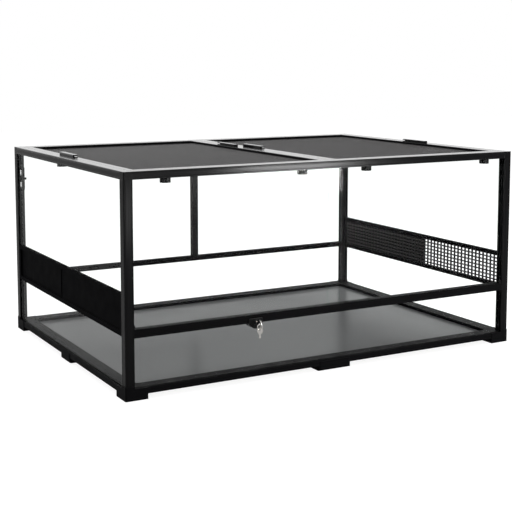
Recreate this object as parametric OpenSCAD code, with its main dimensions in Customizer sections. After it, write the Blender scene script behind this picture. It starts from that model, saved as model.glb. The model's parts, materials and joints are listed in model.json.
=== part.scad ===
// Glass reptile terrarium: a framed glass cabinet with two lift-off mesh lids,
// two sliding front doors, a mesh vent band with a slide in each side and a key lock.
// The front faces -Y. Pieces are drawn about the cabinet's own middle plane and
// in_row() moves them, because the key stands out in front.

/* [Cabinet] */
// Width over the corner posts
body_w = 914; // [600:1:1200]
// Depth over the corner posts
body_d = 655; // [450:1:700]
// Height from the shelf to the top of the frame
body_h = 425; // [380:0.5:600]

/* [Frame] */
// Side of the square corner posts
post_s = 18; // [18:0.5:24]
// Height of the top rails
top_h = 15; // [15:0.5:20]
// Height of the base rails
base_h = 12.5; // [12.5:0.5:16]
// Width of the base rails, seen from above
base_w = 33; // [33:1:45]
// Width of the bar between the lids
centre_bar_w = 12; // [12:1:24]
// Height of the front crossbar
bar_h = 16; // [16:0.5:20]
// Underside of the front crossbar above the shelf
bar_z = 117; // [100:1:150]
// Height of the rear crossbar
rear_bar_h = 12.5; // [12.5:0.5:18]
// Middle of the rear crossbar above the shelf
rear_bar_z = 126; // [110:1:160]
// Width of the rear mullion
mullion_w = 16; // [14:1:24]
// Depth of the rear crossbar and mullion
rear_bar_d = 12; // [11:0.5:18]
// Step of the fine shadow lines on the outer faces
line_w = 0.8; // [0.5:0.1:1.2]

/* [Feet] */
// Drop of the feet below the base rails
foot_h = 10; // [6:0.5:16]
// Side of the square corner feet
foot_s = 44; // [40:1:60]
// How far the feet stand out past the frame
foot_proud = 1.2; // [0.6:0.1:2]
// Length of the clip foot under the front and the rear
long_clip = 78; // [50:1:100]
// Length of the clip foot under each side
short_clip = 58; // [40:1:90]

/* [Glass] */
// Thickness of the wall and door glass
glass_t = 4; // [3:0.5:4]
// Outer face of the wall glass behind the frame's outer face
glass_inset = 2.2; // [2.2:0.1:3]
// Depth of the glazing grooves
groove_d = 5; // [4:0.5:6]

/* [Doors] */
// Overlap of the two doors in the middle
door_overlap = 24; // [16:1:40]
// Distance between the two door lanes
lane_step = 7; // [7:0.1:7.4]
// Play of a door in its lane, each side
lane_play = 0.3; // [0.2:0.05:0.4]

/* [Vents] */
// Underside of the side vents above the shelf
vent_z = 119; // [110:1:150]
// Height of the side vents
vent_h = 80; // [60:1:100]
// Border of the vent frames
vent_border = 9; // [8:0.5:14]
// Depth of the vent frames
vent_d = 9; // [9:0.2:10]
// Length of the slide that closes one part of a vent
slide_l = 332; // [200:1:400]
// Gaps along a vent mesh
vent_columns = 42; // [20:1:42]
// Gaps up a vent mesh
vent_rows = 7; // [4:1:7]

/* [Lids] */
// Border of the lid frames
lid_border = 15; // [14:0.5:20]
// Height of the lid frames
lid_h = 8.5; // [8:0.5:9]
// Play between a lid and the rails
lid_play = 0.5; // [0.3:0.1:1]
// Width of the ledge that a lid rests on
ledge_w = 5; // [4:0.5:6]
// Gaps across a lid mesh
lid_columns = 14; // [8:1:14]
// Gaps along a lid mesh
lid_rows = 20; // [10:1:20]
// Radius of the turn latches' knobs
knob_r = 10.5; // [8:0.5:11]
// Height of the turn latches' knobs
knob_h = 12; // [8:0.5:14]
// Length of the lid handles
handle_l = 88; // [60:1:120]
// Height of the lid handles
handle_h = 6; // [5:0.5:8]

/* [Lock] */
// Distance of the lock to the left of the middle
lock_x = -185; // [-300:1:-60]
// Reach of the key in front of the frame
key_reach = 24; // [22:0.5:30]

/* [Cable ports] */
// Middle of the pair of cable ports above the shelf
port_z = 352; // [300:0.5:360]
// Height of one cable port
port_h = 12.5; // [10:0.5:14]
// Distance between the two ports of a pair, middle to middle
port_step = 28; // [27:0.5:32]

/* [Hidden] */
$fn = 48;

frame_black = [0.07, 0.07, 0.075];
plastic_black = [0.05, 0.05, 0.055];
mesh_grey = [0.16, 0.15, 0.16];
glass_tint = [0.75, 0.85, 0.85, 0.3];
floor_tint = [0.3, 0.31, 0.32, 0.7];
bright_steel = [0.75, 0.75, 0.77];

eps = 0.01;
half_w = body_w / 2;
half_d = body_d / 2;
inner_w = half_w - post_s;          // half the clear width between the posts
inner_d = half_d - post_s;
row_shift = (key_reach - foot_proud) / 2;

rail_z = body_h - top_h;            // underside of the top rails
base_top = foot_h + base_h;
groove_play = 0.2;
groove_w = glass_t + 2 * groove_play;
groove_u = glass_inset - groove_play;
bite = groove_d - 0.5;              // how far the glass goes into a groove
line_deep = 0.5;
line_in = 2.6;                      // the shadow lines' distance from an edge
edge_r = 1.6;

ledge_t = 3.6;
ledge_z = body_h - lid_h - ledge_t;
tongue = 1;                         // the ledges' tongue in the rails
tongue_t = 2;

track_u = 1.4;                      // the tracks' outer face behind the frame's face
track_w = 14.4;
lane_w = glass_t + 2 * lane_play;
lane_1 = glass_inset + glass_t / 2; // middle of the outer lane
lane_2 = lane_1 + lane_step;
upper_track_h = 11;
lower_track_h = 6.5;
track_floor = 2.8;                  // the tracks' plastic under or above a lane
bar_top = bar_z + bar_h;
lane_floor_z = bar_top - lower_track_h + track_floor;
post_lane_d = 4;                    // door lanes in the front posts
door_bite = post_lane_d - 0.5;
door_z = lane_floor_z + 0.2;
door_top = rail_z + 5.5;
door_w = inner_w + door_bite + door_overlap / 2;
stop_l = 6;
stop_h = 10;

screw_r = 2.45;
port_r = 2.5;                       // screw port in the posts
port_at = 10;

floor_t = 4;
floor_z = foot_h + 1.3;
floor_in = base_w - 5.5;            // the floor glass's edge behind the outer face
front_pane_y = -half_d + glass_inset;
rear_pane_y = half_d - glass_inset - glass_t;
pane_floor = base_top - bite;
pane_top = rail_z + bite;
bar_groove_d = 4;                   // glazing grooves of the crossbars and the vent frames
bar_bite = bar_groove_d - 0.4;

mesh_t = 1.2;
vent_u = 0.6;                       // the vent frames' outer face behind the posts'
vent_mesh_u = 6;
vent_wire = 1.8;
slide_t = 1.2;
slide_u = 2.3;
slide_play = 0.3;
shut_u = 4.2;                       // the vent frames' closed part lies between slide and mesh
shut_t = 1.2;
slide_bite = 2.5;
slide_end = inner_d - vent_border + 2;  // the slide's end when it is fully back
lid_wire = 2.4;
lid_mesh_z = body_h - lid_h + 1.6;
mesh_bite = 3;
mesh_slot = mesh_t + 0.1;

lid_x0 = centre_bar_w / 2 + lid_play;
lid_x1 = inner_w - lid_play;
lid_y1 = inner_d - lid_play;
latch_in = ledge_w + knob_r;        // a latch's axis behind the lid's edge
latch_y = -lid_y1 + latch_in;
latch_side_x = -lid_x1 + latch_in;
latch_side_y = 94;
latch_r = 2.5;
latch_bore = latch_r + 0.05;
head_r = 3.7;
head_t = 0.8;
lug_t = 3;                          // the lugs that carry the latches under the lid
lug_r = 7.5;
lug_z = ledge_z + 0.1;
lug_top = lug_z + lug_t;
left_latches = [359, 59];           // a lid's outer and inner latch, from the middle plane
right_latches = [410, 96];
left_handles_y = [32, 113];         // middles of a lid's outer and inner handle
right_handles_y = [-16, 38];
handle_w = 11;

lock_z = bar_z + 1;
lock_r = 5;
lock_bore = lock_r + 0.05;
housing_r = 15;
housing_mid = bar_z + 4;            // middle of the housing's round
housing_back = 16;                  // depth of the housing behind the frame's face
plate_t = 2.5;
cam_t = 2.6;
cam_reach = 13.8;
cam_w = 4;
face_out = 3.5;                     // the cylinder's face in front of the frame
bow_r = 7.5;
key_t = 1.8;
hole_r = 2;
ring_r = 5.5;
wire_r = 0.7;
ring_y = key_reach - 6;             // hole of the key in front of the frame
spare_l = 20;
spare_turn = 35;

shutter_t = 1.6;
guide_t = 3.4;
guide_wall = 0.8;
guide_lip = 0.6;
guide_end = 4;
guide_u0 = groove_u + groove_w + 0.4;
port_u0 = guide_u0 + 0.6;
port_w = 7;
shutter_h = port_h + 2;
channel_h = port_step + shutter_h + 0.5;
guide_h = channel_h + 2 * guide_end;

// ---- placing ----

module in_row() { translate([0, row_shift, 0]) children(); }

// side = -1 leaves a piece where it is drawn, +1 mirrors it to the other side
module flip_x(side) {
    if (side > 0) mirror([1, 0, 0]) children();
    else children();
}

module flip_y(side) {
    if (side > 0) mirror([0, 1, 0]) children();
    else children();
}

// A corner has its outer edge at the origin and grows along +X and +Y
module at_corner(side_x, side_y) {
    flip_x(side_x) flip_y(side_y) translate([-half_w, -half_d, 0]) children();
}

// A section's x is the distance in from the outer face, its y is the height
module run_x(x0, x1) {
    translate([x0, 0, 0]) rotate([90, 0, 90]) linear_extrude(x1 - x0) children();
}

module front_run(x0, x1) { translate([0, -half_d, 0]) run_x(x0, x1) children(); }

module rear_run(x0, x1) { mirror([0, 1, 0]) front_run(x0, x1) children(); }

module side_run(side, y0, y1) {
    flip_x(side) translate([-half_w, y0, 0]) mirror([0, 1, 0])
        rotate([90, 0, 0]) linear_extrude(y1 - y0) children();
}

// ---- shared sections ----

// The corner of a square profile that is cut away to round it
module round_off(r) {
    difference() {
        translate([-1, -1]) square(r + 1);
        translate([r, r]) circle(r);
    }
}

// Fine shadow lines along a face that lies on the y axis
module face_lines(length) {
    for (y = [line_in, length - line_in - line_w])
        translate([-1, y]) square([line_deep + 1, line_w]);
}

module post_blank() {
    difference() {
        square(post_s);
        round_off(edge_r);
        face_lines(post_s);
        mirror([1, -1, 0]) face_lines(post_s);
        translate([groove_u, post_s - groove_d]) square([groove_w, groove_d + 1]);
        translate([port_at, port_at]) circle(port_r);
    }
}

// A front post takes the door edges in two lanes
module front_post_section() {
    difference() {
        post_blank();
        for (lane = [lane_1, lane_2])
            translate([post_s - post_lane_d, lane - lane_w / 2]) square([post_lane_d + 1, lane_w]);
    }
}

module rear_post_section() {
    difference() {
        post_blank();
        translate([post_s - groove_d, groove_u]) square([groove_d + 1, groove_w]);
    }
}

module post(side_x, side_y) {
    color(frame_black) in_row() at_corner(side_x, side_y)
        translate([0, 0, base_top]) linear_extrude(rail_z - base_top) children();
}

// ---- posts ----

module front_left_post() { post(-1, -1) front_post_section(); }

module front_right_post() { post(1, -1) front_post_section(); }

// Two windows through a rear post lead cables out; they are wider at the back
module ported_post(side) {
    difference() {
        post(side, 1) rear_post_section();
        in_row() at_corner(side, 1)
            for (step = [-0.5, 0.5])
                translate([port_u0, -1, port_z + step * port_step - port_h / 2]) {
                    cube([port_w, post_s + 2, port_h]);
                    cube([post_s, groove_u + groove_w + 1, port_h]);
                }
    }
}

module rear_left_post() { ported_post(-1); }

module rear_right_post() { ported_post(1); }

// ---- top frame ----

module top_blank() {
    difference() {
        translate([0, rail_z]) square([post_s, top_h]);
        translate([0, body_h]) mirror([0, 1, 0]) round_off(edge_r);
        translate([0, rail_z]) face_lines(top_h);
    }
}

// A ledge strip and, with play, the groove that takes its tongue
module tongue_section(play) {
    translate([post_s - tongue - play, ledge_z + (ledge_t - tongue_t) / 2 - play])
        square([tongue + play + 1, tongue_t + 2 * play]);
}

module ledge_section() {
    translate([post_s, ledge_z]) square([ledge_w, ledge_t]);
    tongue_section(0);
}

module top_rail_section() {
    difference() {
        top_blank();
        tongue_section(0.1);
        translate([groove_u, rail_z - 1]) square([groove_w, groove_d + 1]);
        translate([8, rail_z + 3]) square([post_s - 10, top_h - 5.5]);
    }
}

// The front rail has a wide channel for the upper door track
module door_rail_section() {
    difference() {
        top_blank();
        tongue_section(0.1);
        translate([track_u, rail_z - 1]) square([track_w, upper_track_h + 1.5]);
    }
}

// Seats in a top corner for the wall glass; a front corner also takes the doors
module corner_seats(side_y) {
    translate([groove_u, post_s - groove_d, -1]) cube([groove_w, groove_d + 1, groove_d + 1]);
    if (side_y > 0) translate([post_s - groove_d, groove_u, -1]) cube([groove_d + 1, groove_w, groove_d + 1]);
    else for (lane = [lane_1, lane_2])
        translate([post_s - post_lane_d, lane - lane_w / 2, -1])
            cube([post_lane_d + 1, lane_w, upper_track_h]);
}

module top_corners() {
    color(frame_black) in_row()
        for (side_x = [-1, 1], side_y = [-1, 1]) at_corner(side_x, side_y) {
            translate([0, 0, rail_z]) difference() {
                linear_extrude(top_h) difference() {
                    square(post_s);
                    round_off(edge_r);
                }
                corner_seats(side_y);
            }
            translate([port_at, port_at, rail_z - 14]) cylinder(h = 15, r = screw_r);
        }
}

module top_front_rail() {
    color(frame_black) in_row() front_run(-inner_w, inner_w) door_rail_section();
}

module top_rear_rail() {
    color(frame_black) in_row() rear_run(-inner_w, inner_w) top_rail_section();
}

module top_side_rail(side) {
    color(frame_black) in_row() side_run(side, -inner_d, inner_d) top_rail_section();
}

module top_left_rail() { top_side_rail(-1); }

module top_right_rail() { top_side_rail(1); }

// Four strips in the rails' grooves; the side ones stop short of the others
module lid_ledges() {
    color(frame_black) in_row() {
        front_run(-inner_w, inner_w) ledge_section();
        rear_run(-inner_w, inner_w) ledge_section();
        for (side = [-1, 1])
            side_run(side, -inner_d + ledge_w + 0.1, inner_d - ledge_w - 0.1) ledge_section();
    }
}

module top_centre_bar() {
    notch_z = ledge_z + ledge_t - rail_z;
    color(frame_black) in_row() {
        difference() {
            translate([-centre_bar_w / 2, -inner_d, rail_z]) cube([centre_bar_w, 2 * inner_d, top_h]);
            // the ends stand on the front and rear ledges
            for (side = [-1, 1]) flip_y(side)
                translate([-centre_bar_w, -inner_d - 1, rail_z - 1])
                    cube([2 * centre_bar_w, ledge_w + 1, notch_z + 1]);
        }
        translate([-centre_bar_w / 2 - ledge_w, -inner_d + ledge_w, ledge_z])
            cube([centre_bar_w + 2 * ledge_w, 2 * (inner_d - ledge_w), ledge_t]);
    }
}

// ---- base ----

module base_rail_section() {
    difference() {
        translate([0, foot_h]) square([base_w, base_h]);
        translate([0, base_top]) mirror([0, 1, 0]) round_off(edge_r);
        translate([0, foot_h]) face_lines(base_h);
        translate([groove_u, base_top - groove_d]) square([groove_w, groove_d + 1]);
        translate([floor_in - 0.5, floor_z - 0.1]) square([base_w, floor_t + 0.2]);
        translate([9, foot_h + 2]) square([floor_in - 12, base_h - 4]);
    }
}

module base_front_rail() {
    color(frame_black) in_row() front_run(-half_w + foot_s, half_w - foot_s) base_rail_section();
}

module base_rear_rail() {
    color(frame_black) in_row() rear_run(-half_w + foot_s, half_w - foot_s) base_rail_section();
}

module base_side_rail(side) {
    color(frame_black) in_row() side_run(side, -half_d + foot_s, half_d - foot_s) base_rail_section();
}

module base_left_rail() { base_side_rail(-1); }

module base_right_rail() { base_side_rail(1); }

// One moulded foot joins two base rails and carries a post
module corner_foot() {
    skirt_top = base_top + 4.5;
    difference() {
        union() {
            linear_extrude(base_top) difference() {
                translate([-foot_proud, -foot_proud]) square(foot_s + foot_proud);
                translate([-foot_proud, -foot_proud]) round_off(3);
            }
            linear_extrude(skirt_top) difference() {
                translate([-foot_proud, -foot_proud]) square(post_s + foot_proud);
                translate([-foot_proud, -foot_proud]) round_off(3);
                square(post_s + 1);
            }
        }
        // the inside corner is cut back to the base rails' width, with a round
        translate([base_w, base_w, -1]) linear_extrude(base_top + 2) difference() {
            square(foot_s);
            round_off(9);
        }
        // seats of the wall glass and the floor glass
        translate([groove_u, post_s - groove_d, base_top - groove_d]) cube([groove_w, foot_s, groove_d + 1]);
        translate([post_s - groove_d, groove_u, base_top - groove_d]) cube([foot_s, groove_w, groove_d + 1]);
        translate([floor_in - 0.5, floor_in - 0.5, floor_z - 0.1]) cube([foot_s, foot_s, floor_t + 0.2]);
        // countersunk screw
        translate([port_at, port_at, -1]) cylinder(h = base_top + 2, r = port_r);
        translate([port_at, port_at, -eps]) cylinder(h = 4.2, r = 5.2);
    }
}

module corner_feet() {
    color(plastic_black) in_row()
        for (side_x = [-1, 1], side_y = [-1, 1]) at_corner(side_x, side_y) corner_foot();
}

// A clip foot grips the rail's outer face and ends in rounds
module clip_foot(length) {
    round_r = 6;
    pad_w = 30;
    intersection() {
        run_x(-length / 2, length / 2) difference() {
            translate([-foot_proud, 0]) square([pad_w + foot_proud, foot_h + base_h - 3]);
            translate([0, foot_h]) square([pad_w + 1, base_h]);
            translate([-foot_proud, 0]) round_off(2.5);
        }
        linear_extrude(base_top) union() {
            translate([-length / 2, round_r - foot_proud]) square([length, pad_w]);
            for (side = [-1, 1])
                translate([side * (length / 2 - round_r), round_r - foot_proud]) circle(round_r);
            translate([-length / 2 + round_r, -foot_proud]) square([length - 2 * round_r, pad_w]);
        }
    }
}

module clip_feet() {
    color(plastic_black) in_row() {
        for (side = [-1, 1]) flip_y(side) translate([0, -half_d, 0]) clip_foot(long_clip);
        for (side = [-1, 1])
            flip_x(side) translate([-half_w, 0, 0]) rotate([0, 0, -90]) clip_foot(short_clip);
    }
}

module corner_screws() {
    color(bright_steel) in_row()
        for (side_x = [-1, 1], side_y = [-1, 1]) at_corner(side_x, side_y)
            translate([port_at, port_at, 1]) difference() {
                union() {
                    cylinder(h = 42, r = screw_r);
                    cylinder(h = 3, r = 5);
                }
                // cross slot
                for (turn = [0, 90]) rotate([0, 0, turn]) translate([-3, -0.6, -1]) cube([6, 1.2, 2.5]);
            }
}

// ---- crossbars ----

module front_bar_section() {
    difference() {
        translate([0, bar_z]) square([post_s, bar_h]);
        translate([0, bar_z]) face_lines(bar_h);
        translate([groove_u, bar_z - 1]) square([groove_w, bar_groove_d + 1]);
        translate([track_u, bar_top - lower_track_h]) square([track_w, lower_track_h + 1]);
        translate([9, bar_z + 2]) square([post_s - 11, bar_h - lower_track_h - 4]);
    }
}

// The quarter round that the lock's cam sweeps when it swings up into the outer lane
module cam_room() {
    sweep_r = cam_reach + 0.5;
    edge = cam_w / 2 + 1;
    translate([lock_x, -half_d + lane_1, lock_z]) rotate([90, 0, 0]) intersection() {
        cylinder(h = cam_t + 0.8, r = sweep_r, center = true);
        translate([-edge, -edge, -cam_t]) cube([2 * sweep_r, 2 * sweep_r, 2 * cam_t]);
    }
}

// Room for the lock's cylinder and for its cam
module lock_room() {
    translate([lock_x, -half_d - 4, lock_z]) rotate([-90, 0, 0]) cylinder(h = 14.5, r = lock_bore + 0.25);
    cam_room();
}

module front_crossbar() {
    color(frame_black) in_row() difference() {
        front_run(-inner_w, inner_w) front_bar_section();
        lock_room();
    }
}

module rear_crossbar() {
    z0 = rear_bar_z - rear_bar_h / 2;
    color(frame_black) in_row() rear_run(-inner_w, inner_w) difference() {
        translate([0, z0]) square([rear_bar_d, rear_bar_h]);
        translate([0, z0]) face_lines(rear_bar_h);
        translate([groove_u, z0 - 1]) square([groove_w, bar_groove_d + 1]);
        translate([groove_u, z0 + rear_bar_h - bar_groove_d]) square([groove_w, bar_groove_d + 1]);
    }
}

module rear_mullion() {
    z0 = rear_bar_z + rear_bar_h / 2;
    color(frame_black) in_row() mirror([0, 1, 0]) translate([-mullion_w / 2, -half_d, z0])
        linear_extrude(rail_z - z0) difference() {
            square([mullion_w, rear_bar_d]);
            mirror([1, -1, 0]) face_lines(mullion_w);
            for (x = [-1, mullion_w - groove_d]) translate([x, groove_u]) square([groove_d + 1, groove_w]);
        }
}

// ---- door tracks ----

module upper_track() {
    z0 = rail_z + 0.5;
    front_run(-inner_w, inner_w) difference() {
        translate([track_u, z0]) square([track_w, upper_track_h]);
        for (lane = [lane_1, lane_2])
            translate([lane - lane_w / 2, z0 - 1]) square([lane_w, upper_track_h + 1 - track_floor + 1.3]);
    }
}

module lower_track() {
    difference() {
        front_run(-inner_w, inner_w) difference() {
            translate([track_u, bar_top - lower_track_h]) square([track_w, lower_track_h]);
            for (lane = [lane_1, lane_2])
                translate([lane - lane_w / 2, lane_floor_z]) square([lane_w, lower_track_h]);
        }
        lock_room();
    }
}

module door_tracks() {
    color(plastic_black) in_row() {
        upper_track();
        lower_track();
    }
}

// Each door runs open against a stop in its own lane
module door_stops() {
    color(plastic_black) in_row()
        for (side = [-1, 1]) {
            lane = side < 0 ? lane_2 : lane_1;
            flip_x(side) translate([-inner_w, -half_d + lane - lane_w / 2, lane_floor_z])
                cube([stop_l, lane_w, stop_h]);
        }
}

// ---- glass ----

module pane_x(x0, x1, y, z0, z1) {
    color(glass_tint) in_row() translate([x0, y, z0]) cube([x1 - x0, glass_t, z1 - z0]);
}

module side_pane(side, z0, z1) {
    depth = 2 * (inner_d + bite);
    color(glass_tint) in_row() flip_x(side)
        translate([-half_w + glass_inset, -depth / 2, z0]) cube([glass_t, depth, z1 - z0]);
}

module floor_glass() {
    color(floor_tint) in_row() translate([-half_w + floor_in, -half_d + floor_in, floor_z])
        cube([body_w - 2 * floor_in, body_d - 2 * floor_in, floor_t]);
}

// The lower front pane is cut out round the lock
module front_lower_glass() {
    difference() {
        pane_x(-inner_w - door_bite, inner_w + door_bite, front_pane_y, pane_floor, bar_z + bar_bite);
        in_row() translate([lock_x, -half_d, housing_mid]) rotate([-90, 0, 0])
            cylinder(h = 20, r = housing_r + 0.3);
    }
}

module rear_lower_glass() {
    pane_x(-inner_w - bite, inner_w + bite, rear_pane_y, pane_floor, rear_bar_z - rear_bar_h / 2 + bar_bite);
}

// The outer edge of an upper rear pane is cut back beside the cable ports
module rear_upper_pane(side) {
    difference() {
        color(glass_tint) in_row() flip_x(side)
            translate([-inner_w - bite, rear_pane_y, rear_bar_z + rear_bar_h / 2 - bar_bite])
                cube([inner_w + bite - mullion_w / 2 + bite, glass_t,
                    pane_top - rear_bar_z - rear_bar_h / 2 + bar_bite]);
        in_row() flip_x(side)
            translate([-inner_w - bite - 1, rear_pane_y - 1, port_z - port_step / 2 - port_h / 2 - 1])
                cube([bite + 1, glass_t + 2, port_step + port_h + 2]);
    }
}

module rear_left_glass() { rear_upper_pane(-1); }

module rear_right_glass() { rear_upper_pane(1); }

module left_lower_glass() { side_pane(-1, pane_floor, vent_z + bar_bite); }

module left_upper_glass() { side_pane(-1, vent_z + vent_h - bar_bite, pane_top); }

module right_lower_glass() { side_pane(1, pane_floor, vent_z + bar_bite); }

module right_upper_glass() { side_pane(1, vent_z + vent_h - bar_bite, pane_top); }

// ---- vents ----

// A block that fills the vent's opening from y0 to y1
module vent_opening(y0, y1, u, depth) {
    translate([u, y0, vent_border]) cube([depth, y1 - y0, vent_h - 2 * vent_border]);
}

// The rear part of the frame is closed by a thin wall, which the slide lies over
module vent_frame(side) {
    edge = vent_border - mesh_bite - 0.1;   // the mesh groove's distance from the frame's outline
    color(frame_black) in_row() flip_x(side) translate([-half_w + vent_u, 0, vent_z]) difference() {
        translate([0, -inner_d, 0]) cube([vent_d, 2 * inner_d, vent_h]);
        vent_opening(-inner_d + vent_border, inner_d - vent_border, -1, vent_d + 2);
        // groove of the mesh
        translate([vent_mesh_u - 0.05, -inner_d + edge, edge])
            cube([mesh_slot, 2 * (inner_d - edge), vent_h - 2 * edge]);
        // groove of the slide
        translate([slide_u - slide_play, -slide_end - slide_play, vent_border - slide_bite - slide_play])
            cube([slide_t + 2 * slide_play, 2 * (slide_end + slide_play),
                vent_h - 2 * (vent_border - slide_bite - slide_play)]);
        // grooves of the panes below and above
        for (z = [-1, vent_h - bar_groove_d])
            translate([groove_u - vent_u, -inner_d - 1, z])
                cube([groove_w, 2 * inner_d + 2, bar_groove_d + 1]);
    }
    color(frame_black) in_row() flip_x(side) translate([-half_w + vent_u, 0, vent_z])
        vent_opening(slide_end - slide_l, inner_d - vent_border, shut_u, shut_t);
}

// A flat net with its border, drawn from the origin
module net(length, height, border, columns, rows, wire) {
    pitch_x = (length - 2 * border + wire) / columns;
    pitch_y = (height - 2 * border + wire) / rows;
    linear_extrude(mesh_t) difference() {
        square([length, height]);
        for (i = [0 : columns - 1], j = [0 : rows - 1])
            translate([border + i * pitch_x, border + j * pitch_y]) square([pitch_x - wire, pitch_y - wire]);
    }
}

module vent_mesh(side) {
    edge = vent_border - mesh_bite;
    length = 2 * (inner_d - edge);
    color(mesh_grey) in_row() flip_x(side)
        translate([-half_w + vent_u + vent_mesh_u, -length / 2, vent_z + edge]) rotate([90, 0, 90])
            net(length, vent_h - 2 * edge, mesh_bite, vent_columns, vent_rows, vent_wire);
}

// A plain strip outside the mesh. It starts at y0, and pushed forward it closes
// the open part of the vent. A rib near each end is its grip.
module vent_slide(side, y0) {
    z0 = vent_border - slide_bite;
    rib_w = 3;
    rib_t = 1.4;
    rib_z0 = vent_border + 2;
    color(plastic_black) in_row() flip_x(side) translate([-half_w + vent_u + slide_u, y0, vent_z]) {
        translate([0, 0, z0]) cube([slide_t, slide_l, vent_h - 2 * z0]);
        for (y = [rib_w, slide_l - 2 * rib_w])
            translate([-rib_t, y, rib_z0]) cube([rib_t + eps, rib_w, vent_h - 2 * rib_z0]);
    }
}

module left_vent_frame() { vent_frame(-1); }

module left_vent_mesh() { vent_mesh(-1); }

module left_vent_slide() { vent_slide(-1, -slide_end); }

module right_vent_frame() { vent_frame(1); }

module right_vent_mesh() { vent_mesh(1); }

module right_vent_slide() { vent_slide(1, slide_end - slide_l); }

// ---- lids ----

// Section of a lid bar: x runs in from the lid's edge, y is the height
module lid_bar_section() {
    z0 = body_h - lid_h;
    difference() {
        translate([0, z0]) square([lid_border, lid_h]);
        translate([lid_border - mesh_bite - 0.1, lid_mesh_z - 0.05]) square([mesh_bite + 1, mesh_slot]);
        // the inner top edge slopes to the mesh
        translate([lid_border, body_h]) mirror([1, 1, 0]) round_off(1.2);
    }
}

// One bar of a lid frame, mitred at both ends, along +X from the lid's corner
module lid_bar(length) {
    gap = 0.1;
    intersection() {
        run_x(0, length) lid_bar_section();
        translate([0, 0, body_h - lid_h - 1]) linear_extrude(lid_h + 2)
            polygon([[gap, 0], [length - gap, 0],
                [length - lid_border - 1 - gap, lid_border + 1], [lid_border + 1 + gap, lid_border + 1]]);
    }
}

// The places of a lid's three latches, each with its near rail along -Y
module latch_axes(latches) {
    for (x = latches) translate([-x, latch_y, 0]) children();
    translate([latch_side_x, latch_side_y, 0]) rotate([0, 0, -90]) children();
}

// A lug under the lid's bar, clear of the ledge, that a latch turns in
module latch_lug() {
    neck_w = 10;
    neck_back = latch_in - ledge_w - 1;
    translate([0, 0, lug_z]) {
        cylinder(h = lug_t, r = lug_r);
        translate([-neck_w / 2, -neck_back, 0]) cube([neck_w, neck_back, lug_t]);
        translate([-neck_w / 2, -neck_back, 0]) cube([neck_w, 5, lug_t + 1.5]);
    }
}

module lid_frame(side, latches) {
    length_x = lid_x1 - lid_x0;
    color(frame_black) in_row() flip_x(side) difference() {
        union() {
            translate([-lid_x1, -lid_y1, 0]) lid_bar(length_x);
            translate([-lid_x0, lid_y1, 0]) rotate([0, 0, 180]) lid_bar(length_x);
            translate([-lid_x1, lid_y1, 0]) rotate([0, 0, -90]) lid_bar(2 * lid_y1);
            translate([-lid_x0, -lid_y1, 0]) rotate([0, 0, 90]) lid_bar(2 * lid_y1);
            latch_axes(latches) latch_lug();
        }
        latch_axes(latches) {
            translate([0, 0, lug_z - 1]) cylinder(h = lug_t + 2, r = latch_bore);
            // room for the latch's head under the bar
            translate([0, 0, lug_top]) cylinder(h = head_t + 0.6, r = head_r + 0.4);
        }
    }
}

module lid_mesh(side) {
    bite_in = lid_border - mesh_bite;
    length = lid_x1 - lid_x0 - 2 * bite_in;
    depth = 2 * (lid_y1 - bite_in);
    color(mesh_grey) in_row() flip_x(side) translate([-lid_x1 + bite_in, -depth / 2, lid_mesh_z])
        net(length, depth, mesh_bite, lid_columns, lid_rows, lid_wire);
}

// A low pull: a foot strip, a riser and a lip to hook the fingers under
module handle(x, y, side) {
    end_r = 4;
    translate([x, y, body_h]) flip_x(side) intersection() {
        rotate([90, 0, 0]) linear_extrude(handle_l, center = true) difference() {
            translate([-handle_w / 2, 0]) square([handle_w, handle_h]);
            translate([-handle_w / 2 + 3, 1.6]) square([handle_w, handle_h - 3.6]);
            translate([-handle_w / 2, handle_h]) mirror([0, 1, 0]) round_off(2);
            translate([handle_w / 2, handle_h]) mirror([1, 1, 0]) round_off(1);
        }
        linear_extrude(handle_h) union() {
            translate([-handle_w / 2, -handle_l / 2 + end_r]) square([handle_w, handle_l - 2 * end_r]);
            translate([-handle_w / 2 + end_r, -handle_l / 2]) square([handle_w - 2 * end_r, handle_l]);
            for (a = [-1, 1], b = [-1, 1])
                translate([a * (handle_w / 2 - end_r), b * (handle_l / 2 - end_r)]) circle(end_r);
        }
    }
}

module lid_handles(side, middles) {
    color(plastic_black) in_row() {
        handle(side * (lid_x1 - lid_border / 2), middles[0], side);
        handle(side * (lid_x0 + lid_border / 2), middles[1], -side);
    }
}

// Knob below, spindle up through the lug, and a cam that turns under the ledge.
// The cam points along +X, which is unlatched.
module latch() {
    knob_top = rail_z - 0.3;
    arm_t = lug_z - 0.4 - knob_top;
    arm_l = latch_in - 1;
    arm_half = 2.6;
    difference() {
        translate([0, 0, knob_top - knob_h]) cylinder(h = knob_h, r = knob_r);
        // finger scallops
        for (turn = [0 : 45 : 315]) rotate([0, 0, turn + 22.5])
            translate([knob_r + 1.6, 0, knob_top - knob_h - 1]) cylinder(h = knob_h - 2, r = 3, $fn = 24);
        // pointer slot in the knob's underside
        translate([-1, -1, knob_top - knob_h - 1]) cube([knob_r - 1, 2, 2]);
    }
    translate([0, 0, knob_top - 1]) cylinder(h = lug_top - knob_top + 1.4, r = latch_r);
    // head above the lug
    translate([0, 0, lug_top + 0.3]) cylinder(h = head_t, r = head_r);
    translate([0, -arm_half, knob_top - eps]) cube([arm_l - arm_half, 2 * arm_half, arm_t]);
    translate([arm_l - arm_half, 0, knob_top - eps]) cylinder(h = arm_t, r = arm_half);
    translate([0, 0, knob_top - eps]) cylinder(h = arm_t, r = 5);
}

// turn points the cam along the rail that the latch closes on
module placed_latch(side, x, y, turn) {
    color(plastic_black) in_row() flip_x(side) translate([x, y, 0]) rotate([0, 0, turn]) latch();
}

module left_lid_frame() { lid_frame(-1, left_latches); }

module left_lid_mesh() { lid_mesh(-1); }

module left_lid_handles() { lid_handles(-1, left_handles_y); }

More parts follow.
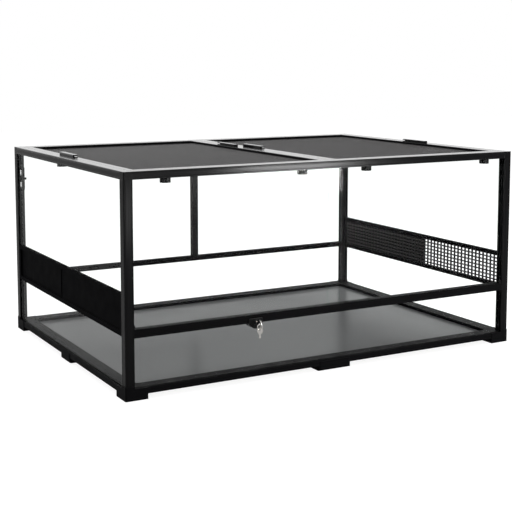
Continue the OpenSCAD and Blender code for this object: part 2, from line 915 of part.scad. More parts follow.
module right_lid_frame() { lid_frame(1, right_latches); }

module right_lid_mesh() { lid_mesh(1); }

module right_lid_handles() { lid_handles(1, right_handles_y); }

module left_lid_latch_outer() { placed_latch(-1, -left_latches[0], latch_y, 0); }

module left_lid_latch_inner() { placed_latch(-1, -left_latches[1], latch_y, 0); }

module left_lid_latch_side() { placed_latch(-1, latch_side_x, latch_side_y, 90); }

module right_lid_latch_inner() { placed_latch(1, -right_latches[1], latch_y, 0); }

module right_lid_latch_outer() { placed_latch(1, -right_latches[0], latch_y, 0); }

module right_lid_latch_side() { placed_latch(1, latch_side_x, latch_side_y, 90); }

// ---- doors ----

// A ground oval finger pull in a door's outer face
module finger_pull(x, y) {
    pull_l = 50;
    pull_r = 8;
    translate([x, y, (door_z + door_top) / 2]) rotate([90, 0, 0]) {
        for (end = [-1, 1]) translate([0, end * (pull_l / 2 - pull_r), -1.2]) cylinder(h = 3, r = pull_r);
        translate([-pull_r, -pull_l / 2 + pull_r, -1.2]) cube([2 * pull_r, pull_l - 2 * pull_r, 3]);
    }
}

module door_pane(side, lane) {
    x0 = side < 0 ? -inner_w - door_bite : -door_overlap / 2;
    translate([x0, -half_d + lane - glass_t / 2, door_z]) cube([door_w, glass_t, door_top - door_z]);
}

// A notch ground to the cam's swing; its straight side stops the locked door
module cam_notch() {
    notch_r = cam_reach + 0.8;
    translate([lock_x, -half_d + lane_1, lock_z]) rotate([90, 0, 0]) intersection() {
        cylinder(h = 2 * glass_t, r = notch_r, center = true);
        translate([-cam_w, 0, -glass_t]) cube([2 * notch_r, notch_r, 2 * glass_t]);
    }
}

// The left door runs in the outer lane
module left_door() {
    color(glass_tint) in_row() difference() {
        door_pane(-1, lane_1);
        finger_pull(-inner_w + 22, -half_d + lane_1 - glass_t / 2);
        cam_notch();
    }
}

module right_door() {
    color(glass_tint) in_row() difference() {
        door_pane(1, lane_2);
        finger_pull(inner_w - 22, -half_d + lane_2 - glass_t / 2);
    }
}

// ---- lock ----

module lock_housing() {
    color(plastic_black) in_row() difference() {
        translate([lock_x, -half_d, housing_mid]) rotate([-90, 0, 0]) union() {
            translate([0, 0, -plate_t]) intersection() {
                cylinder(h = plate_t, r = housing_r);
                translate([-20, -5, -1]) cube([40, 40, plate_t + 2]);
            }
            intersection() {
                cylinder(h = housing_back, r = housing_r);
                translate([-20, housing_mid - bar_z, 0]) cube([40, 40, housing_back]);
            }
        }
        translate([lock_x, -half_d - plate_t - 1, lock_z]) rotate([-90, 0, 0])
            cylinder(h = plate_t + 1 + 9.3, r = lock_bore);
        cam_room();
    }
}

// Unlocked: the cam lies along +X. Turned up, it stands in the left door's notch.
module lock_cylinder() {
    color(bright_steel) in_row() translate([lock_x, -half_d, lock_z]) difference() {
        union() {
            translate([0, -face_out, 0]) rotate([-90, 0, 0]) cylinder(h = face_out + 9, r = lock_r);
            translate([0, lane_1 + cam_t / 2, 0]) rotate([90, 0, 0]) linear_extrude(cam_t) {
                translate([0, -cam_w / 2]) square([cam_reach - cam_w / 2, cam_w]);
                translate([cam_reach - cam_w / 2, 0]) circle(cam_w / 2);
            }
        }
        // keyway
        translate([-key_t / 2, -face_out - 1, -3.5]) cube([key_t, 9, 7]);
    }
}

// A flat key, drawn with its bow's middle at the origin and its blade along +Y
module key_blank(bow, blade_l, blade_w, hole_y) {
    rotate([0, -90, 0]) linear_extrude(key_t - 0.2, center = true) difference() {
        union() {
            circle(bow);
            translate([-blade_w / 2, 0]) square([blade_w, bow + blade_l - blade_w / 2]);
            translate([0, bow + blade_l - blade_w / 2]) circle(blade_w / 2);
        }
        translate([0, -hole_y]) circle(hole_r);
        // three cuts in the blade
        for (i = [0 : 2]) translate([blade_w / 2, bow + 2.4 + i * 2.6]) circle(1.1);
    }
}

module lock_key() {
    color(bright_steel) in_row() translate([lock_x, -half_d - key_reach + bow_r, lock_z])
        key_blank(bow_r, 7, 5.6, ring_y - key_reach + bow_r);
}

module key_ring() {
    color(bright_steel) in_row() translate([lock_x, -half_d - ring_y, lock_z - ring_r]) rotate([90, 0, 0])
        rotate_extrude() translate([ring_r, 0]) circle(wire_r, $fn = 24);
}

// The spare key hangs from the ring by the hole in its bow
module spare_key() {
    spare_bow = 6;
    spare_hole = spare_bow - hole_r - 1;
    color(bright_steel) in_row() translate([lock_x, -half_d - ring_y, lock_z - 2 * ring_r])
        rotate([0, 0, spare_turn]) translate([0, 0, -spare_hole]) rotate([-90, 0, 0])
            key_blank(spare_bow, spare_l - 2 * spare_bow, 5, spare_hole);
}

// ---- cable ports ----

// A guide stands on a rear post's inner face, beside the side wall's glass
module port_guide(side) {
    guide_w = post_s - guide_u0;
    in_wall = guide_u0 + guide_wall;
    at_corner(side, 1) translate([0, post_s, port_z]) difference() {
        translate([guide_u0, 0, -guide_h / 2]) cube([guide_w, guide_t, guide_h]);
        // channel of the shutter, open on its inner edge for the finger tab
        translate([in_wall, -1, -channel_h / 2]) cube([guide_w, shutter_t + 1.6, channel_h]);
        translate([in_wall + guide_lip, -1, -channel_h / 2])
            cube([guide_w - 2 * (guide_wall + guide_lip), guide_t + 2, channel_h]);
    }
}

// It rests between the two ports and slides over one or the other
module port_shutter(side) {
    x0 = guide_u0 + guide_wall + 0.3;
    color(plastic_black) in_row() at_corner(side, 1) translate([x0, post_s + 0.3, port_z - shutter_h / 2]) {
        cube([post_s - x0, shutter_t, shutter_h]);
        // finger tab past the post's edge
        translate([post_s - x0 - eps, 0, shutter_h / 2 - 2.5]) cube([4.5, shutter_t, 5]);
    }
}

module port_guides() { color(plastic_black) in_row() for (side = [-1, 1]) port_guide(side); }

module left_port_shutter() { port_shutter(-1); }

module right_port_shutter() { port_shutter(1); }

front_left_post();
front_right_post();
rear_left_post();
rear_right_post();
top_corners();
top_front_rail();
top_rear_rail();
top_left_rail();
top_right_rail();
top_centre_bar();
lid_ledges();
base_front_rail();
base_rear_rail();
base_left_rail();
base_right_rail();
corner_feet();
clip_feet();
corner_screws();
front_crossbar();
rear_crossbar();
rear_mullion();
door_tracks();
door_stops();
floor_glass();
front_lower_glass();
rear_lower_glass();
rear_left_glass();
rear_right_glass();
left_lower_glass();
left_upper_glass();
right_lower_glass();
right_upper_glass();
left_vent_frame();
left_vent_mesh();
left_vent_slide();
right_vent_frame();
right_vent_mesh();
right_vent_slide();
left_lid_frame();
left_lid_mesh();
left_lid_handles();
right_lid_frame();
right_lid_mesh();
right_lid_handles();
left_lid_latch_outer();
left_lid_latch_inner();
left_lid_latch_side();
right_lid_latch_inner();
right_lid_latch_outer();
right_lid_latch_side();
left_door();
right_door();
lock_housing();
lock_cylinder();
lock_key();
key_ring();
spare_key();
port_guides();
left_port_shutter();
right_port_shutter();
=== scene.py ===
import json
import math

import bpy
from mathutils import Euler, Matrix, Vector


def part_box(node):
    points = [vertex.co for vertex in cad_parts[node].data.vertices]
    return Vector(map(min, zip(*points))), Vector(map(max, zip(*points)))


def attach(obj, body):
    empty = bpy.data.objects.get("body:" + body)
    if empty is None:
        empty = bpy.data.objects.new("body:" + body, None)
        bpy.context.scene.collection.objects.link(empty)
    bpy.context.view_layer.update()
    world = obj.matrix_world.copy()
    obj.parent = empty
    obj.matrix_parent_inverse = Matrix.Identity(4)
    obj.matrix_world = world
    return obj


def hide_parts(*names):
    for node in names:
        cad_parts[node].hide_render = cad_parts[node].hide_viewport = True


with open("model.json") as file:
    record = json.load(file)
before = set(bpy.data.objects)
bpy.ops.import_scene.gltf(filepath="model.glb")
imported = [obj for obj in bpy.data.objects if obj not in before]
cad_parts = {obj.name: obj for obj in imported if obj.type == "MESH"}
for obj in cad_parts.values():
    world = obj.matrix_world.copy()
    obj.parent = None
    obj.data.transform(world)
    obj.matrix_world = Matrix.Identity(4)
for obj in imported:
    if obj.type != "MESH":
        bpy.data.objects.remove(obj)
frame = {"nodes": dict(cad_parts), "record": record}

scene = bpy.context.scene
nodes = frame["nodes"]
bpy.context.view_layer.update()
print("frame loaded:", len(nodes), "nodes")


view = {
    "place": (-1.2163, -2.1661, 0.6297),
    "azimuth": 29.167,  # degrees from +Y towards +X
    "pitch": 6.252,     # degrees down
    "lens": 78.185,
    "sensor": 36,
    "shift": -0.15,     # keeps the upright edges nearly upright
    "clipEnd": 60,
}


def addCamera():
    data = bpy.data.cameras.new("camera")
    data.lens = view["lens"]
    data.sensor_width = view["sensor"]
    data.shift_y = view["shift"]
    data.clip_end = view["clipEnd"]
    camera = bpy.data.objects.new("camera", data)
    camera.location = view["place"]
    turn = (math.radians(90 - view["pitch"]), 0, math.radians(-view["azimuth"]))
    camera.rotation_euler = Euler(turn, "XYZ")
    scene.collection.objects.link(camera)
    scene.camera = camera
    scene.view_settings.view_transform = "Standard"


addCamera()
print("camera set")


def addNode(tree, kind, **settings):
    node = tree.nodes.new(kind)
    for key, value in settings.items():
        setattr(node, key, value)
    return node


def mathNode(tree, operation, first, second=None, clamp=False):
    node = addNode(tree, "ShaderNodeMath", operation=operation, use_clamp=clamp)
    for socket, value in zip(node.inputs, (first, second)):
        if value is None:
            continue
        if isinstance(value, (int, float)):
            socket.default_value = value
        else:
            tree.links.new(value, socket)
    return node.outputs[0]


def newGroup(name, inputs, outputs):
    tree = bpy.data.node_groups.new(name, "ShaderNodeTree")
    for socketName, kind, value in inputs:
        socket = tree.interface.new_socket(socketName, in_out="INPUT", socket_type=kind)
        socket.default_value = value
    for socketName, kind in outputs:
        tree.interface.new_socket(socketName, in_out="OUTPUT", socket_type=kind)
    return tree, addNode(tree, "NodeGroupInput"), addNode(tree, "NodeGroupOutput")


def placeGroup(tree, group, **values):
    node = addNode(tree, "ShaderNodeGroup", node_tree=group)
    for key, value in values.items():
        node.inputs[key].default_value = value
    return node


number, vector = "NodeSocketFloat", "NodeSocketVector"

noiseLook = {
    "streakDetail": 2,
    "grainDetail": 3,
    "wearScale": 70,
    "wearDetail": 4,
    "wearGain": 4.0,    # how soon a turned normal counts as an edge
    "dustDetail": 5,
}


def noiseOn(tree, place, detail):
    noise = addNode(tree, "ShaderNodeTexNoise")
    noise.inputs["Detail"].default_value = detail
    tree.links.new(place, noise.inputs["Vector"])
    return noise


# Noise drawn out along one direction: the die lines of an extrusion or a brushed grain
def buildStreaks():
    inputs = [("Stretch", vector, (1, 1, 1)), ("Density", number, 600)]
    tree, entry, leave = newGroup("streaks", inputs, [("Value", number)])
    where = addNode(tree, "ShaderNodeTexCoord")
    scaled = addNode(tree, "ShaderNodeVectorMath", operation="MULTIPLY")
    tree.links.new(where.outputs["Object"], scaled.inputs[0])
    tree.links.new(entry.outputs["Stretch"], scaled.inputs[1])
    noise = noiseOn(tree, scaled.outputs[0], noiseLook["streakDetail"])
    tree.links.new(entry.outputs["Density"], noise.inputs["Scale"])
    tree.links.new(noise.outputs["Fac"], leave.inputs["Value"])
    return tree


# The fine orange peel of powder coat or the spark texture of moulded plastic
def buildGrain():
    inputs = [("Density", number, 900), ("Roughness", number, 0.5)]
    tree, entry, leave = newGroup("grain", inputs, [("Value", number)])
    where = addNode(tree, "ShaderNodeTexCoord")
    noise = noiseOn(tree, where.outputs["Object"], noiseLook["grainDetail"])
    tree.links.new(entry.outputs["Density"], noise.inputs["Scale"])
    tree.links.new(entry.outputs["Roughness"], noise.inputs["Roughness"])
    tree.links.new(noise.outputs["Fac"], leave.inputs["Value"])
    return tree


# Where the coat is rubbed thin: along the edges, broken up by noise
def buildEdgeWear():
    inputs = [("Radius", number, 0.0006), ("Amount", number, 0.5)]
    tree, entry, leave = newGroup("edge wear", inputs, [("Mask", number), ("Normal", vector)])
    rounded = addNode(tree, "ShaderNodeBevel", samples=4)
    flat = addNode(tree, "ShaderNodeNewGeometry")
    dot = addNode(tree, "ShaderNodeVectorMath", operation="DOT_PRODUCT")
    where = addNode(tree, "ShaderNodeTexCoord")
    noise = noiseOn(tree, where.outputs["Object"], noiseLook["wearDetail"])
    noise.inputs["Scale"].default_value = noiseLook["wearScale"]
    tree.links.new(entry.outputs["Radius"], rounded.inputs["Radius"])
    tree.links.new(rounded.outputs[0], dot.inputs[0])
    tree.links.new(flat.outputs["Normal"], dot.inputs[1])
    turned = mathNode(tree, "SUBTRACT", 1.0, dot.outputs["Value"])
    sharp = mathNode(tree, "MULTIPLY", turned, noiseLook["wearGain"], clamp=True)
    broken = mathNode(tree, "MULTIPLY", sharp, noise.outputs["Fac"])
    mask = mathNode(tree, "MULTIPLY", broken, entry.outputs["Amount"])
    tree.links.new(mask, leave.inputs["Mask"])
    tree.links.new(rounded.outputs[0], leave.inputs["Normal"])
    return tree


# Dust settles in soft patches on what faces up
def buildDust():
    inputs = [("Amount", number, 0.2), ("Density", number, 14)]
    tree, entry, leave = newGroup("dust", inputs, [("Mask", number)])
    where = addNode(tree, "ShaderNodeTexCoord")
    noise = noiseOn(tree, where.outputs["Object"], noiseLook["dustDetail"])
    surface = addNode(tree, "ShaderNodeNewGeometry")
    split = addNode(tree, "ShaderNodeSeparateXYZ")
    tree.links.new(entry.outputs["Density"], noise.inputs["Scale"])
    tree.links.new(surface.outputs["Normal"], split.inputs[0])
    upward = mathNode(tree, "MAXIMUM", split.outputs["Z"], 0.0)
    patch = mathNode(tree, "MULTIPLY", upward, noise.outputs["Fac"])
    mask = mathNode(tree, "MULTIPLY", patch, entry.outputs["Amount"])
    tree.links.new(mask, leave.inputs["Mask"])
    return tree


streaks, grain, edgeWear, dust = buildStreaks(), buildGrain(), buildEdgeWear(), buildDust()
print("shader groups built")


def newMaterial(name):
    material = bpy.data.materials.new(name)
    material.use_nodes = True
    return material, material.node_tree, material.node_tree.nodes["Principled BSDF"]


mixBelow, mixAbove, mixResult = 6, 7, 2     # the colour sockets of a Mix node
noiseSpan = (0.3, 0.7)                      # where most of a noise's values lie


def mixColour(tree, mask, below, above):
    mix = addNode(tree, "ShaderNodeMix", data_type="RGBA")
    tree.links.new(mask, mix.inputs["Factor"])
    for index, colour in ((mixBelow, below), (mixAbove, above)):
        if hasattr(colour, "is_linked"):
            tree.links.new(colour, mix.inputs[index])
        else:
            mix.inputs[index].default_value = (*colour, 1)
    return mix.outputs[mixResult]


def rangeOf(tree, value, low, high):
    node = addNode(tree, "ShaderNodeMapRange")
    tree.links.new(value, node.inputs["Value"])
    node.inputs["From Min"].default_value = noiseSpan[0]
    node.inputs["From Max"].default_value = noiseSpan[1]
    node.inputs["To Min"].default_value = low
    node.inputs["To Max"].default_value = high
    return node.outputs[0]


def bumpOf(tree, height, distance, strength, under=None):
    bump = addNode(tree, "ShaderNodeBump")
    bump.inputs["Strength"].default_value = strength
    bump.inputs["Distance"].default_value = distance
    tree.links.new(height, bump.inputs["Height"])
    if under is not None:
        tree.links.new(under, bump.inputs["Normal"])
    return bump.outputs["Normal"]


# The rubbed edges first, then the dust on top
def colourWithDust(tree, shader, look, worn=None):
    dusty = placeGroup(tree, dust, Amount=look["dust"], Density=look["dustDensity"])
    clean = look["colour"]
    if worn is not None:
        clean = mixColour(tree, worn.outputs["Mask"], look["colour"], look["rubbed"])
    colour = mixColour(tree, dusty.outputs["Mask"], clean, look["dusty"])
    tree.links.new(colour, shader.inputs["Base Color"])


coatLook = {
    "colour": (0.0045, 0.0045, 0.005),
    "rubbed": (0.04, 0.04, 0.042),
    "dusty": (0.1, 0.098, 0.096),
    "rough": (0.13, 0.2),
    "specular": 0.1,
    "lineDensity": 520,
    "along": 0.012,     # how far the die lines are drawn out
    "lineHeight": 0.00002,
    "lineStrength": 0.5,
    "peelDensity": 1400,
    "peelRoughness": 0.6,
    "peelHeight": 0.000012,
    "peelStrength": 0.4,
    "edge": 0.0007,
    "wear": 0.2,
    "dust": 0.06,
    "dustDensity": 16,
}


# Satin coat over an extrusion whose die lines run along one axis
def frameCoat(axis):
    material, tree, shader = newMaterial("frame coat " + "xyz"[axis])
    stretch = [1, 1, 1]
    stretch[axis] = coatLook["along"]
    lines = placeGroup(tree, streaks, Stretch=stretch, Density=coatLook["lineDensity"])
    peel = placeGroup(
        tree, grain, Density=coatLook["peelDensity"], Roughness=coatLook["peelRoughness"])
    worn = placeGroup(tree, edgeWear, Radius=coatLook["edge"], Amount=coatLook["wear"])
    colourWithDust(tree, shader, coatLook, worn)
    rough = rangeOf(tree, lines.outputs[0], *coatLook["rough"])
    tree.links.new(rough, shader.inputs["Roughness"])
    lined = bumpOf(tree, lines.outputs[0], coatLook["lineHeight"],
                   coatLook["lineStrength"], worn.outputs["Normal"])
    peeled = bumpOf(tree, peel.outputs[0], coatLook["peelHeight"],
                    coatLook["peelStrength"], lined)
    tree.links.new(peeled, shader.inputs["Normal"])
    shader.inputs["Specular IOR Level"].default_value = coatLook["specular"]
    return material


plasticLook = {
    "colour": (0.005, 0.005, 0.0055),
    "rubbed": (0.05, 0.05, 0.052),
    "dusty": (0.08, 0.078, 0.076),
    "rough": (0.28, 0.4),
    "specular": 0.12,
    "grainDensity": 1800,
    "grainRoughness": 0.7,
    "grainHeight": 0.00003,
    "grainStrength": 0.5,
    "cloudDensity": 60,
    "cloudRoughness": 0.5,
    "edge": 0.0006,
    "wear": 0.2,
    "dust": 0.12,
    "dustDensity": 22,
}

# The base and the crossbars have a dead matt coat, the vents a deader one
mattLook = {
    "colour": (0.0035, 0.0035, 0.004),
    "rubbed": (0.03, 0.03, 0.032),
    "dusty": (0.07, 0.068, 0.066),
    "rough": (0.5, 0.62),
    "specular": 0.03,
    "grainDensity": 1600,
    "grainRoughness": 0.65,
    "grainHeight": 0.00002,
    "grainStrength": 0.5,
    "cloudDensity": 40,
    "cloudRoughness": 0.5,
    "edge": 0.0006,
    "wear": 0.25,
    "dust": 0.05,
    "dustDensity": 20,
}
ventLook = {**mattLook, "specular": 0.006}


# Black with a fine grain in relief and a slow change of gloss
def grainyBlack(name, look):
    material, tree, shader = newMaterial(name)
    fine = placeGroup(tree, grain, Density=look["grainDensity"], Roughness=look["grainRoughness"])
    cloud = placeGroup(tree, grain, Density=look["cloudDensity"], Roughness=look["cloudRoughness"])
    worn = placeGroup(tree, edgeWear, Radius=look["edge"], Amount=look["wear"])
    colourWithDust(tree, shader, look, worn)
    rough = rangeOf(tree, cloud.outputs[0], *look["rough"])
    tree.links.new(rough, shader.inputs["Roughness"])
    relief = bumpOf(tree, fine.outputs[0], look["grainHeight"],
                    look["grainStrength"], worn.outputs["Normal"])
    tree.links.new(relief, shader.inputs["Normal"])
    shader.inputs["Specular IOR Level"].default_value = look["specular"]
    return material


glassLook = {
    "tint": (0.985, 0.995, 0.99),
    "bend": 1.05,       # low, so that the panes mirror next to nothing
    "doorBend": 1.001,  # lower still, so that the doors' lapped edges draw no lines
    "doorCoat": 0.2,    # gives the doors their mirror back
    "doorCoatBend": 1.3,
    "doorEdge": (0.86, 0.94, 0.9),
    "edgeTurn": 0.5,    # a face turned further than this from the door's plane is its edge
}


# Clear glass lets lamp light through, so that the inside isn't left dark
def clearGlass(name, bend, faintEdges=False):
    material, tree, shader = newMaterial(name)
    shader.inputs["Base Color"].default_value = (*glassLook["tint"], 1)
    shader.inputs["Roughness"].default_value = 0
    shader.inputs["IOR"].default_value = bend
    shader.inputs["Transmission Weight"].default_value = 1
    rays = addNode(tree, "ShaderNodeLightPath")
    passing = addNode(tree, "ShaderNodeBsdfTransparent")
    passing.inputs["Color"].default_value = (*glassLook["tint"], 1)
    mix = addNode(tree, "ShaderNodeMixShader")
    share = mathNode(
        tree, "MAXIMUM", rays.outputs["Is Shadow Ray"], rays.outputs["Is Diffuse Ray"])
    if faintEdges:
        surface = addNode(tree, "ShaderNodeNewGeometry")
        split = addNode(tree, "ShaderNodeSeparateXYZ")
        tree.links.new(surface.outputs["True Normal"], split.inputs[0])
        facing = mathNode(tree, "ABSOLUTE", split.outputs["Y"])
        edge = mathNode(tree, "LESS_THAN", facing, glassLook["edgeTurn"])
        share = mathNode(tree, "MAXIMUM", share, edge)
        tint = mixColour(tree, edge, glassLook["tint"], glassLook["doorEdge"])
        tree.links.new(tint, passing.inputs["Color"])
        shader.inputs["Coat Weight"].default_value = glassLook["doorCoat"]
        shader.inputs["Coat IOR"].default_value = glassLook["doorCoatBend"]
        shader.inputs["Coat Roughness"].default_value = 0
    tree.links.new(share, mix.inputs[0])
    tree.links.new(shader.outputs[0], mix.inputs[1])
    tree.links.new(passing.outputs[0], mix.inputs[2])
    tree.links.new(mix.outputs[0], tree.nodes["Material Output"].inputs["Surface"])
    return material


floorGlassLook = {
    "colour": (0.155, 0.156, 0.159),
    "dusty": (0.22, 0.215, 0.21),
    "rough": (0.2, 0.26),
    "specular": 0.02,
    "filmDensity": 9,
    "filmRoughness": 0.55,
    "dust": 0.03,
    "dustDensity": 30,
}


# The floor pane is backed with grey, and a thin film dulls it in places
def backedGlass():
    look = floorGlassLook
    material, tree, shader = newMaterial("grey backed glass")
    film = placeGroup(tree, grain, Density=look["filmDensity"], Roughness=look["filmRoughness"])
    colourWithDust(tree, shader, look)
    rough = rangeOf(tree, film.outputs[0], *look["rough"])
    tree.links.new(rough, shader.inputs["Roughness"])
    shader.inputs["Specular IOR Level"].default_value = look["specular"]
    return material


nickelLook = {
    "colour": (0.72, 0.7, 0.67),
    "rubbed": (0.86, 0.85, 0.83),
    "rough": (0.12, 0.26),
    "lineDensity": 900,
    "along": 0.06,
    "lineHeight": 0.00003,
    "lineStrength": 0.5,
    "edge": 0.0004,
    "wear": 0.6,
}


def nickelSteel():
    look = nickelLook
    material, tree, shader = newMaterial("nickel")
    shader.inputs["Metallic"].default_value = 1
    brushed = placeGroup(
        tree, streaks, Stretch=(1, 1, look["along"]), Density=look["lineDensity"])
    worn = placeGroup(tree, edgeWear, Radius=look["edge"], Amount=look["wear"])
    colour = mixColour(tree, worn.outputs["Mask"], look["colour"], look["rubbed"])
    tree.links.new(colour, shader.inputs["Base Color"])
    rough = rangeOf(tree, brushed.outputs[0], *look["rough"])
    tree.links.new(rough, shader.inputs["Roughness"])
    relief = bumpOf(tree, brushed.outputs[0], look["lineHeight"],
                    look["lineStrength"], worn.outputs["Normal"])
    tree.links.new(relief, shader.inputs["Normal"])
    return material


wireLook = {
    "colour": (0.011, 0.0098, 0.0105),
    "dusty": (0.13, 0.122, 0.122),
    "rough": (0.38, 0.52),
    "specular": 0.26,
    "peelDensity": 1200,
    "peelRoughness": 0.6,
    "dust": 0.25,
    "dustDensity": 18,
}


def coatedWire():
    look = wireLook
    material, tree, shader = newMaterial("coated wire")
    peel = placeGroup(tree, grain, Density=look["peelDensity"], Roughness=look["peelRoughness"])
    colourWithDust(tree, shader, look)
    rough = rangeOf(tree, peel.outputs[0], *look["rough"])
    tree.links.new(rough, shader.inputs["Roughness"])
    shader.inputs["Specular IOR Level"].default_value = look["specular"]
    return material


coats = [frameCoat(axis) for axis in range(3)]
plastic, backed = grainyBlack("moulded plastic", plasticLook), backedGlass()
matt, ventMatt = grainyBlack("matt coat", mattLook), grainyBlack("matt vent coat", ventLook)
clear = clearGlass("clear glass", glassLook["bend"])
doorGlass = clearGlass("door glass", glassLook["doorBend"], faintEdges=True)
nickel, wire = nickelSteel(), coatedWire()

slotFinish = {
    "black_plastic": plastic,
    "clear_glass": clear,
    "floor_glass": backed,
    "bright_steel": nickel,
    "mesh": wire,
}

# Words in a node's name that say which way it was extruded, or that it is matt
alongX = ("front_rail", "rear_rail", "crossbar", "top_corners")
alongZ = ("post", "mullion")
ventWords = ("vent_frame", "vent_slide")
mattWords = ("base_", "feet", "crossbar", "ledges")


def finishOf(node, slot):
    def has(words):
        return any(word in node for word in words)

    if has(ventWords):
        return ventMatt
    if has(mattWords):
        return matt
    if node == "lock_cylinder":
        return plastic
    if node.endswith("_door"):
        return doorGlass
    if slot != "black_frame" and "handles" not in node:
        return slotFinish[slot]
    if has(alongZ):
        return coats[2]
    return coats[0] if has(alongX) else coats[1]


slotOf = {part["node"]: part["material_slot"] for part in frame["record"]["subparts"]}
for name, piece in nodes.items():
    piece.data.materials.clear()
    piece.data.materials.append(finishOf(name, slotOf[name]))
print("materials assigned")


# Geometry Nodes: two layers of straight bars that cross, each an instance of one bar
def buildScreenTree():
    tree = bpy.data.node_groups.new("crossed bars", "GeometryNodeTree")
    tree.interface.new_socket("Geometry", in_out="INPUT", socket_type="NodeSocketGeometry")
    for name in ("Width", "Depth", "Pitch X", "Pitch Y", "Bar X", "Bar Y", "Layer"):
        tree.interface.new_socket(name, in_out="INPUT", socket_type=number)
    for name, kind in (("Sides", "NodeSocketInt"), ("Finish", "NodeSocketMaterial")):
        tree.interface.new_socket(name, in_out="INPUT", socket_type=kind)
    tree.interface.new_socket("Geometry", in_out="OUTPUT", socket_type="NodeSocketGeometry")
    entry, leave = addNode(tree, "NodeGroupInput"), addNode(tree, "NodeGroupOutput")
    join = addNode(tree, "GeometryNodeJoinGeometry")

    def layer(span, pitch, barRadius, length, direction, turn, lift):
        gaps = mathNode(tree, "ROUND", mathNode(tree, "DIVIDE", span, pitch))
        step = mathNode(tree, "DIVIDE", span, gaps)
        row = addNode(tree, "GeometryNodeMeshLine", mode="OFFSET")
        start = addNode(tree, "ShaderNodeCombineXYZ")
        offset = addNode(tree, "ShaderNodeCombineXYZ")
        tree.links.new(mathNode(tree, "MULTIPLY", span, -0.5), start.inputs[direction])
        tree.links.new(lift, start.inputs["Z"])
        tree.links.new(step, offset.inputs[direction])
        tree.links.new(mathNode(tree, "ADD", gaps, 1.0), row.inputs["Count"])
        tree.links.new(start.outputs[0], row.inputs["Start Location"])
        tree.links.new(offset.outputs[0], row.inputs["Offset"])
        bar = addNode(tree, "GeometryNodeMeshCylinder")
        tree.links.new(entry.outputs["Sides"], bar.inputs["Vertices"])
        tree.links.new(barRadius, bar.inputs["Radius"])
        tree.links.new(length, bar.inputs["Depth"])
        lay = addNode(tree, "GeometryNodeTransform")
        lay.inputs["Rotation"].default_value = turn
        tree.links.new(bar.outputs["Mesh"], lay.inputs["Geometry"])
        repeat = addNode(tree, "GeometryNodeInstanceOnPoints")
        tree.links.new(row.outputs["Mesh"], repeat.inputs["Points"])
        tree.links.new(lay.outputs["Geometry"], repeat.inputs["Instance"])
        tree.links.new(repeat.outputs["Instances"], join.inputs["Geometry"])

    width, depth, above = (entry.outputs[name] for name in ("Width", "Depth", "Layer"))
    below = mathNode(tree, "MULTIPLY", above, -1.0)
    layer(width, entry.outputs["Pitch X"], entry.outputs["Bar X"], depth,
          "X", (math.pi / 2, 0, 0), above)
    layer(depth, entry.outputs["Pitch Y"], entry.outputs["Bar Y"], width,
          "Y", (0, math.pi / 2, 0), below)
    realize = addNode(tree, "GeometryNodeRealizeInstances")
    finish = addNode(tree, "GeometryNodeSetMaterial")
    tree.links.new(join.outputs[0], realize.inputs[0])
    tree.links.new(realize.outputs[0], finish.inputs["Geometry"])
    tree.links.new(entry.outputs["Finish"], finish.inputs["Material"])
    tree.links.new(finish.outputs[0], leave.inputs[0])
    return tree


screenTree = buildScreenTree()


def bakeTree(name, tree, values, place):
    carrier = bpy.data.objects.new(name + " carrier", bpy.data.meshes.new(name))
    scene.collection.objects.link(carrier)
    modifier = carrier.modifiers.new("tree", "NODES")
    modifier.node_group = tree
    for item in tree.interface.items_tree:
        if item.in_out == "INPUT" and item.name in values:
            modifier[item.identifier] = values[item.name]
    carrier.update_tag()
    bpy.context.view_layer.update()
    evaluated = carrier.evaluated_get(bpy.context.evaluated_depsgraph_get())
    mesh = bpy.data.meshes.new_from_object(evaluated)
    bpy.data.objects.remove(carrier)
    mesh.transform(place)
    piece = bpy.data.objects.new(name, mesh)
    scene.collection.objects.link(piece)
    return piece


def boxCentre(name):
    low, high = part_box(name)
    return (low + high) / 2, high - low


def bakeScreen(name, look, width, depth, place):
    return bakeTree(name, screenTree, {
        "Width": width - 2 * look["edge"], "Depth": depth - 2 * look["edge"],
        "Pitch X": look["pitchX"], "Pitch Y": look["pitchY"],
        "Bar X": look["barX"], "Bar Y": look["barY"],
        "Layer": look["layer"], "Sides": look["sides"], "Finish": wire,
    }, place)


lidScreen = {
    "pitchX": 0.0023,
    "pitchY": 0.0023,
    "barX": 0.00038,    # radius of a wire
    "barY": 0.00038,
    "layer": 0.000304,  # how far each layer lies from the middle
    "edge": 0.0012,     # kept free along the frame
    "sides": 6,
}


def makeLidScreen(side):
    centre, size = boxCentre(side + "_lid_mesh")
    flat = Matrix.Translation(centre)
    piece = bakeScreen(side + "_lid_screen", lidScreen, size.x, size.y, flat)
    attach(piece, side + "_lid")
    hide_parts(side + "_lid_mesh")


ventGrille = {
    "pitchX": 0.00775,  # up and down, once the grille stands
    "pitchY": 0.0125,
    "barX": 0.0017,
    "barY": 0.0023,
    "layer": 0.0001,
    "edge": 0.0015,
    "sides": 6,
}


# The grille is made flat like a lid's screen, then stood up in the side wall
def makeVentGrille(side):
    centre, size = boxCentre(side + "_vent_mesh")
    upright = Matrix.Translation(centre) @ Matrix.Rotation(math.pi / 2, 4, "Y")
    piece = bakeScreen(side + "_vent_grille", ventGrille, size.z, size.y, upright)
    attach(piece, "cabinet")
    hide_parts(side + "_vent_mesh")


for side in ("left", "right"):
    makeLidScreen(side)
    makeVentGrille(side)
print("screens made")


roomLook = {
    "ambient": 0.55,
    "mirrored": 1.4,    # how bright the studio looks in gloss
    "floorColour": (0.3, 0.3, 0.3),
    "floorRough": 0.9,
    "floorGlow": 0.9,
    "floorMirrored": 0.25,
    "floorSize": 14,
    "floorDrop": 0.0003,
}


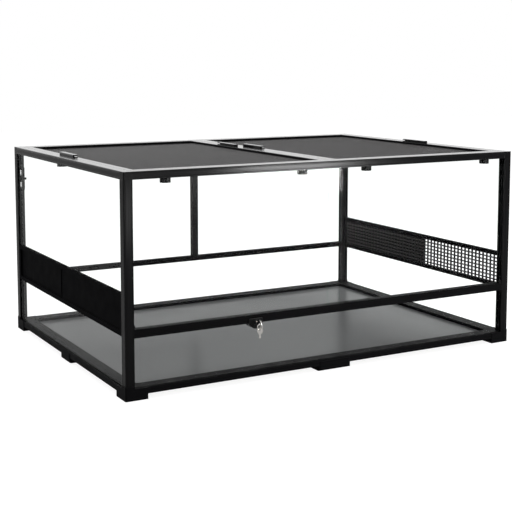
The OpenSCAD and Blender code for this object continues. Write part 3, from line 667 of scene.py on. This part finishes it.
# What the camera sees, straight or through glass, against what gloss sees
def glowOf(tree, seenStrength, glossStrength):
    rays = addNode(tree, "ShaderNodeLightPath")
    seen = mathNode(
        tree, "MAXIMUM", rays.outputs["Is Camera Ray"], rays.outputs["Is Transmission Ray"])
    plain = mathNode(tree, "MULTIPLY", seen, seenStrength)
    mirrored = mathNode(tree, "MULTIPLY", rays.outputs["Is Glossy Ray"], glossStrength)
    return mathNode(tree, "MAXIMUM", plain, mirrored)


def buildWorld():
    world = bpy.data.worlds.new("studio")
    world.use_nodes = True
    scene.world = world
    tree = world.node_tree
    ambient = roomLook["ambient"]
    glow = glowOf(tree, 1 - ambient, roomLook["mirrored"] - ambient)
    background = tree.nodes["Background"]
    background.inputs["Color"].default_value = (1, 1, 1, 1)
    tree.links.new(mathNode(tree, "ADD", glow, ambient), background.inputs["Strength"])


def buildFloor():
    half = roomLook["floorSize"] / 2
    mesh = bpy.data.meshes.new("floor")
    corners = [(-half, -half), (half, -half), (half, half), (-half, half)]
    mesh.from_pydata([(x, y, -roomLook["floorDrop"]) for x, y in corners], [], [(0, 1, 2, 3)])
    floor = bpy.data.objects.new("floor", mesh)
    scene.collection.objects.link(floor)
    material, tree, shader = newMaterial("pale floor")
    shader.inputs["Base Color"].default_value = (*roomLook["floorColour"], 1)
    shader.inputs["Roughness"].default_value = roomLook["floorRough"]
    shader.inputs["Specular IOR Level"].default_value = 0
    shader.inputs["Emission Color"].default_value = (1, 1, 1, 1)
    glow = glowOf(tree, roomLook["floorGlow"], roomLook["floorMirrored"])
    tree.links.new(glow, shader.inputs["Emission Strength"])
    mesh.materials.append(material)


# Place, target, width and height in metres, power in watts
lamps = {
    "front strip": ((0.92, -2.0, 0.27), (0.92, -0.3, 0.27), 0.46, 0.3, 17),
    "low fill": ((0.27, -2.0, 0.09), (0.27, -0.3, 0.09), 0.3, 0.2, 1.0),
    "overhead": ((0.1, 0.2, 2.6), (0.1, 0, 0.2), 2.2, 1.6, 24),
    "right side": ((1.9, 0.1, 0.9), (0.3, 0, 0.05), 0.7, 0.7, 18),
}


def addSoftbox(name, place, target, width, height, power):
    data = bpy.data.lights.new(name, "AREA")
    data.shape = "RECTANGLE"
    data.size = width
    data.size_y = height
    data.energy = power
    lamp = bpy.data.objects.new(name, data)
    lamp.location = place
    lamp.rotation_euler = (Vector(target) - Vector(place)).to_track_quat("-Z", "Y").to_euler()
    lamp.visible_camera = False
    lamp.visible_transmission = False
    scene.collection.objects.link(lamp)


buildWorld()
buildFloor()
for name, values in lamps.items():
    addSoftbox(name, *values)
print("light set")
